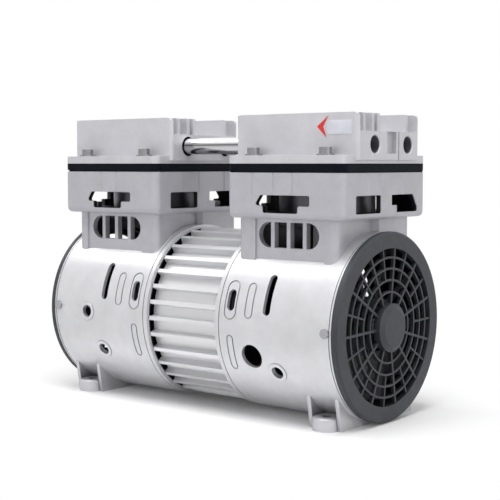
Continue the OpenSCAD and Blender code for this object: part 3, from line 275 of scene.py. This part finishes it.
def drawn_alloy(name, color, roughness, metallic, stretch):
    """Extruded or turned metal with fine lines along its make."""
    s = Surface(name, color, metallic, roughness)
    s.soften(radius=0.25 * MM)
    s.bump(s.noise(size=0.5 * MM, stretch=stretch), depth=0.02 * MM)
    s.vary_color(s.noise(size=9 * MM, stretch=stretch), spread=0.04)
    s.vary_roughness(s.noise(size=2 * MM, stretch=stretch), roughness - 0.05, roughness + 0.07)
    return s.material


def polished(name, color, roughness, stretch=(0.1, 1, 1)):
    """Plated or ground steel with faint marks."""
    s = Surface(name, color, 1.0, roughness)
    s.soften(radius=0.2 * MM)
    s.vary_roughness(s.noise(size=1.5 * MM, stretch=stretch), roughness * 0.7, roughness * 1.5)
    s.bump(s.noise(size=0.4 * MM, stretch=stretch), depth=0.004 * MM)
    return s.material


def chrome_tube(name):
    """Bright plated tube, with painted reflections: dark and light bands in its colour along
    it.
    """
    s = Surface(name, color=(0.8, 0.8, 0.82), metallic=1.0, roughness=0.16)
    _, _, z = s.axes()
    height = s.calc("DIVIDE", s.calc("SUBTRACT", z, TUBE_Z - TUBE_R), 2 * TUBE_R)
    reflections = s.ramp(height, (TUBE_REFLECTION_FOOT,) * 3, (TUBE_REFLECTION_TOP,) * 3, start=0.0, end=1.0)
    elements = reflections.node.color_ramp.elements
    # Painted reflections: dark and light bands across the tube's height
    for place, level in TUBE_PAINTED_REFLECTIONS:
        elements.new(place).color = (level, level, level * 1.02, 1.0)
    s.link(reflections, s.shader.inputs["Base Color"])
    s.bump(s.noise(size=0.6 * MM, stretch=(0.1, 1, 1)), depth=0.003 * MM)
    return s.material


def molded(name, color, roughness, grain=0.35 * MM, depth=0.03 * MM, specular=0.5):
    """Moulded plastic with a fine texture."""
    s = Surface(name, color, 0.0, roughness)
    s.shader.inputs["Specular IOR Level"].default_value = specular
    s.soften(radius=0.3 * MM)
    s.bump(s.noise(grain, detail=2), depth)
    s.vary_color(s.noise(size=20 * MM), spread=0.12)
    s.vary_roughness(s.noise(size=5 * MM), roughness - 0.05, roughness + 0.08)
    return s.material


def laminated(name, color):
    """Stack of thin steel sheets across the shaft."""
    s = Surface(name, color, metallic=0.8, roughness=0.45)
    wave = s.node("ShaderNodeTexWave", bands_direction="X", wave_profile="SAW")
    wave.inputs["Scale"].default_value = 300.0
    s.link(s.coords, wave.inputs["Vector"])
    s.bump(wave.outputs["Fac"], depth=0.05 * MM)
    s.vary_color(s.noise(size=6 * MM), spread=0.15)
    return s.material


def wound_wire(name, color):
    """Varnished copper wire, laid round the coil heads."""
    s = Surface(name, color, metallic=0.3, roughness=0.3)
    wave = s.node("ShaderNodeTexWave", wave_type="RINGS", rings_direction="X")
    wave.inputs["Scale"].default_value = 350.0
    wave.inputs["Distortion"].default_value = 2.0
    s.link(s.coords, wave.inputs["Vector"])
    s.bump(wave.outputs["Fac"], depth=0.3 * MM)
    s.vary_color(s.noise(size=2 * MM), spread=0.2)
    return s.material


MATERIALS_BY_SLOT = {
    "cast_case": cast_alloy(
        "drum_cast",
        (0.62, 0.62, 0.64),
        roughness=0.36,
        grain=0.5 * MM,
        depth=0.02 * MM,
        metallic=0.5,
        inside="drum",
    ),
    "cast_upper": cast_alloy(
        "housing_cast",
        (0.44, 0.437, 0.47),
        roughness=0.5,
        grain=0.7 * MM,
        depth=0.05 * MM,
        metallic=0.4,
        inside="housing",
    ),
    "cast_cover": cast_alloy(
        "cover_cast",
        (0.55, 0.547, 0.575),
        roughness=0.52,
        grain=0.8 * MM,
        depth=0.08 * MM,
        metallic=0.4,
        inside="cover",
    ),
    "fin_alloy": drawn_alloy(
        "fin_alloy",
        (0.70, 0.70, 0.715),
        roughness=0.36,
        metallic=0.5,
        stretch=(0.05, 1, 1),
    ),
    "core_steel": laminated("core_sheets", (0.34, 0.35, 0.37)),
    "winding": wound_wire("winding_wire", (0.5, 0.2, 0.08)),
    "screw_steel": polished("screw_zinc", (0.26, 0.26, 0.27), 0.34, stretch=(1, 1, 1)),
    "bearing_steel": polished("bearing_steel", (0.7, 0.71, 0.73), 0.2),
    # The cylinder sleeves are given a dark grey colour
    "sleeve_alloy": drawn_alloy(
        "sleeve_dark_alloy",
        (0.12, 0.12, 0.135),
        roughness=0.35,
        metallic=0.7,
        stretch=(1, 1, 0.1),
    ),
    "gasket": molded("gasket_rubber", (0.004, 0.005, 0.009), 0.6, specular=0.05),
    "plate_black": molded(
        "plate_coat",
        (0.004, 0.005, 0.009),
        roughness=0.5,
        grain=0.5 * MM,
        specular=0.06,
    ),
    "spring_steel": polished("spring_steel", (0.45, 0.48, 0.53), 0.25),
    "tube_chrome": chrome_tube("tube_chrome"),
    "guard_plastic": molded("guard_plastic", (0.026, 0.0275, 0.034), 0.5),
    "fan_plastic": molded("fan_plastic", (0.016, 0.017, 0.021), 0.5),
    "shaft_steel": polished("shaft_steel", (0.56, 0.57, 0.6), 0.22),
    "eccentric_iron": cast_alloy(
        "eccentric_iron",
        (0.2, 0.2, 0.21),
        roughness=0.5,
        grain=0.6 * MM,
        depth=0.05 * MM,
        metallic=0.8,
    ),
    "rod_alloy": cast_alloy(
        "rod_cast",
        (0.5, 0.5, 0.52),
        roughness=0.42,
        grain=0.6 * MM,
        depth=0.04 * MM,
        metallic=0.7,
    ),
    "cup_ptfe": molded("cup_seal", (0.5, 0.42, 0.26), 0.55),
}

# Nodes whose look differs from the rest of their slot, by the start of their name
MATERIALS_BY_NAME = {
    "guard_screws": polished("guard_screw_zinc", (0.4, 0.4, 0.42), 0.25, stretch=(1, 1, 1)),
    # Painted shade: the neck, of the drums' casting, is given a darker colour
    "cylinder_neck": cast_alloy(
        "neck_cast_shaded",
        (0.46, 0.457, 0.49),
        roughness=0.5,
        grain=0.6 * MM,
        depth=0.04 * MM,
        metallic=0.5,
        inside="neck",
    ),
    "foot_frame": cast_alloy(
        "foot_cast",
        (0.58, 0.578, 0.6),
        roughness=0.45,
        grain=0.6 * MM,
        depth=0.04 * MM,
        metallic=0.5,
        inside="foot",
    ),
}


def material_of(part):
    for start, material in MATERIALS_BY_NAME.items():
        if part["node"].startswith(start):
            return material
    return MATERIALS_BY_SLOT[part["material_slot"]]


for part in frame["record"]["subparts"]:
    for slot in frame["nodes"][part["node"]].material_slots:
        slot.material = material_of(part)


def raised_plate(name, outline, y, thickness):
    """Thin plate on a wall that faces -Y, from an outline of (x, z) points."""
    bm = bmesh.new()
    back = [bm.verts.new((x, y, z)) for x, z in outline]
    front = [bm.verts.new((x, y - thickness, z)) for x, z in outline]
    count = len(outline)
    bm.faces.new(front)
    bm.faces.new(list(reversed(back)))
    for i in range(count):
        j = (i + 1) % count
        bm.faces.new((back[i], back[j], front[j], front[i]))
    bmesh.ops.recalc_face_normals(bm, faces=bm.faces)
    mesh = bpy.data.meshes.new(name)
    bm.to_mesh(mesh)
    bm.free()
    return mesh


def rounded_outline(x0, x1, z0, z1, radius, steps=6):
    """Rectangle with rounded corners."""
    centres = [
        (x1 - radius, z1 - radius, 0),
        (x0 + radius, z1 - radius, 90),
        (x0 + radius, z0 + radius, 180),
        (x1 - radius, z0 + radius, 270),
    ]
    points = []
    for cx, cz, start in centres:
        for i in range(steps + 1):
            a = math.radians(start + 90 * i / steps)
            points.append((cx + radius * math.cos(a), cz + radius * math.sin(a)))
    return points


def add_sticker(name, outline, material):
    """Sticker on the front of the right cover, which rides on the fixed body."""
    mesh = raised_plate(name, outline, COVER_WALL_Y, STICKER_T)
    mesh.materials.append(material)
    sticker = bpy.data.objects.new(name, mesh)
    scene.collection.objects.link(sticker)
    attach(sticker, "frame")


def build_label():
    """Bare pale label, and a plain flow arrow beside it."""
    paper = molded("label_film", (0.64, 0.65, 0.70), 0.4, grain=1.2 * MM, depth=0.01 * MM)
    add_sticker("blank_label", rounded_outline(*LABEL_X, *LABEL_Z, LABEL_CORNER), paper)
    red = molded("arrow_film", (0.72, 0.03, 0.025), 0.4, grain=1.2 * MM, depth=0.01 * MM)
    add_sticker("flow_arrow", [ARROW_TIP, ARROW_TOP, ARROW_NOTCH, ARROW_FOOT], red)


def seen_directly(tree):
    """One for rays from the camera, from reflections and through glass, else zero."""
    path = tree.nodes.new("ShaderNodeLightPath")
    seen = path.outputs["Is Camera Ray"]
    for ray in ("Is Glossy Ray", "Is Transmission Ray"):
        add = tree.nodes.new("ShaderNodeMath")
        add.operation = "MAXIMUM"
        tree.links.new(seen, add.inputs[0])
        tree.links.new(path.outputs[ray], add.inputs[1])
        seen = add.outputs[0]
    return seen


def build_floor_material():
    """White floor that keeps the object's shadow and glows plain white away from it."""
    material = bpy.data.materials.new("floor_white")
    material.use_nodes = True
    tree = material.node_tree
    shader = tree.nodes["Principled BSDF"]
    shader.inputs["Base Color"].default_value = FLOOR_WHITE
    shader.inputs["Roughness"].default_value = 0.8
    glow = tree.nodes.new("ShaderNodeEmission")
    mix = tree.nodes.new("ShaderNodeMixShader")
    coords = tree.nodes.new("ShaderNodeTexCoord")
    oval = tree.nodes.new("ShaderNodeMapping")
    oval.inputs["Scale"].default_value = SHADOW_OVAL
    length = tree.nodes.new("ShaderNodeVectorMath")
    length.operation = "LENGTH"
    fade = tree.nodes.new("ShaderNodeMapRange")
    fade.inputs["From Min"].default_value = SHADOW_NEAR
    fade.inputs["From Max"].default_value = SHADOW_FAR
    fade.inputs["To Min"].default_value = GLOW_NEAR
    fade.inputs["To Max"].default_value = GLOW_FAR
    share = tree.nodes.new("ShaderNodeMath")
    share.operation = "MULTIPLY"
    tree.links.new(coords.outputs["Object"], oval.inputs["Vector"])
    tree.links.new(oval.outputs["Vector"], length.inputs[0])
    tree.links.new(length.outputs["Value"], fade.inputs["Value"])
    tree.links.new(seen_directly(tree), share.inputs[0])
    tree.links.new(fade.outputs["Result"], share.inputs[1])
    tree.links.new(share.outputs[0], mix.inputs["Fac"])
    tree.links.new(shader.outputs[0], mix.inputs[1])
    tree.links.new(glow.outputs[0], mix.inputs[2])
    tree.links.new(mix.outputs[0], tree.nodes["Material Output"].inputs["Surface"])
    return material


def build_floor():
    bm = bmesh.new()
    signs = ((-1, -1), (1, -1), (1, 1), (-1, 1))
    bm.faces.new([bm.verts.new((sx * FLOOR_HALF, sy * FLOOR_HALF, 0)) for sx, sy in signs])
    mesh = bpy.data.meshes.new("floor")
    bm.to_mesh(mesh)
    bm.free()
    mesh.materials.append(build_floor_material())
    floor = bpy.data.objects.new("floor", mesh)
    scene.collection.objects.link(floor)


def build_world():
    """White backdrop to look at, and a dimmer even light on the object."""
    world = bpy.data.worlds.new("studio")
    scene.world = world
    world.use_nodes = True
    tree = world.node_tree
    tree.nodes.clear()
    out = tree.nodes.new("ShaderNodeOutputWorld")
    backdrop = tree.nodes.new("ShaderNodeBackground")
    ambient = tree.nodes.new("ShaderNodeBackground")
    backdrop.inputs["Color"].default_value = (1, 1, 1, 1)
    backdrop.inputs["Strength"].default_value = 1.0
    ambient.inputs["Color"].default_value = AMBIENT_COLOR
    ambient.inputs["Strength"].default_value = AMBIENT_STRENGTH
    mix = tree.nodes.new("ShaderNodeMixShader")
    tree.links.new(seen_directly(tree), mix.inputs["Fac"])
    tree.links.new(ambient.outputs[0], mix.inputs[1])
    tree.links.new(backdrop.outputs[0], mix.inputs[2])
    tree.links.new(mix.outputs[0], out.inputs["Surface"])


def add_lamp(name, place, size, watts):
    """Square soft lamp, turned towards the middle of the object."""
    data = bpy.data.lights.new(name, "AREA")
    data.shape = "SQUARE"
    data.size = size
    data.energy = watts
    lamp = bpy.data.objects.new(name, data)
    lamp.location = place
    lamp.rotation_euler = (Vector(LAMP_AIM) - Vector(place)).to_track_quat("-Z", "Y").to_euler()
    scene.collection.objects.link(lamp)


def build_camera():
    data = bpy.data.cameras.new("photo_camera")
    data.sensor_width = CAMERA_SENSOR
    data.lens = CAMERA_LENS
    data.clip_end = CAMERA_FAR
    camera = bpy.data.objects.new("photo_camera", data)
    camera.location = CAMERA_PLACE
    camera.rotation_euler = (math.pi / 2 - CAMERA_DROP, 0.0, CAMERA_TURN)
    scene.collection.objects.link(camera)
    scene.camera = camera


build_label()
build_floor()
build_world()
add_lamp("top_softbox", place=(0.1, -0.25, 1.1), size=0.8, watts=13.0)
add_lamp("shoulder_softbox", place=(-0.65, -0.15, 0.85), size=0.4, watts=2.2)
add_lamp("front_softbox", place=(0.3, -1.3, 0.8), size=0.6, watts=1.5)
add_lamp("side_softbox", place=(1.3, -0.1, 0.6), size=0.7, watts=3.5)
build_camera()
scene.view_settings.view_transform = "Standard"
